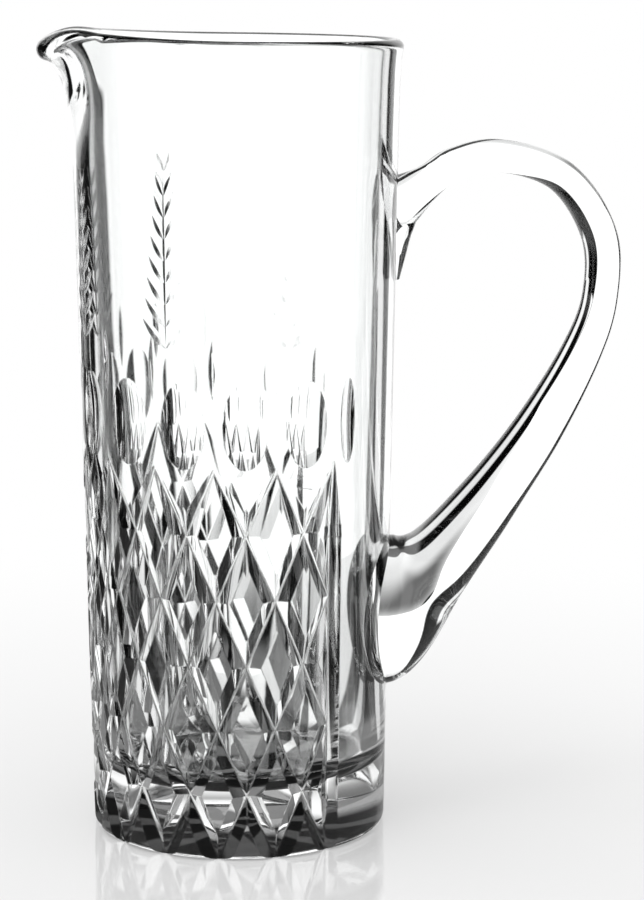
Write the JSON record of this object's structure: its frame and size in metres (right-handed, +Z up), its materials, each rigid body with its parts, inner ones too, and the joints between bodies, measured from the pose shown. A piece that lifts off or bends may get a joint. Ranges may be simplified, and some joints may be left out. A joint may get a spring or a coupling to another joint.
{
  "type": "cocktail pitcher",
  "caption": "Tall cut-glass cocktail pitcher: a slightly flared crystal vessel with a pouring lip, cut lozenges under a band of ovals, and a drawn loop handle sealed to its wall",
  "frame": {"origin": "centre of the ground base, on the vessel's axis at the table", "axes": "+Z up along the vessel's axis, +X towards the handle, -X towards the spout, +Y to the left of a person who holds the handle and pours"},
  "size_m": [0.1859, 0.1058, 0.2558],
  "materials": {
    "crystal": "clear fire-polished lead crystal with acid-polished cuts"
  },
  "bodies": {
    "root": {"pitcher_body": "crystal", "handle": "crystal"}
  },
  "joints": []
}
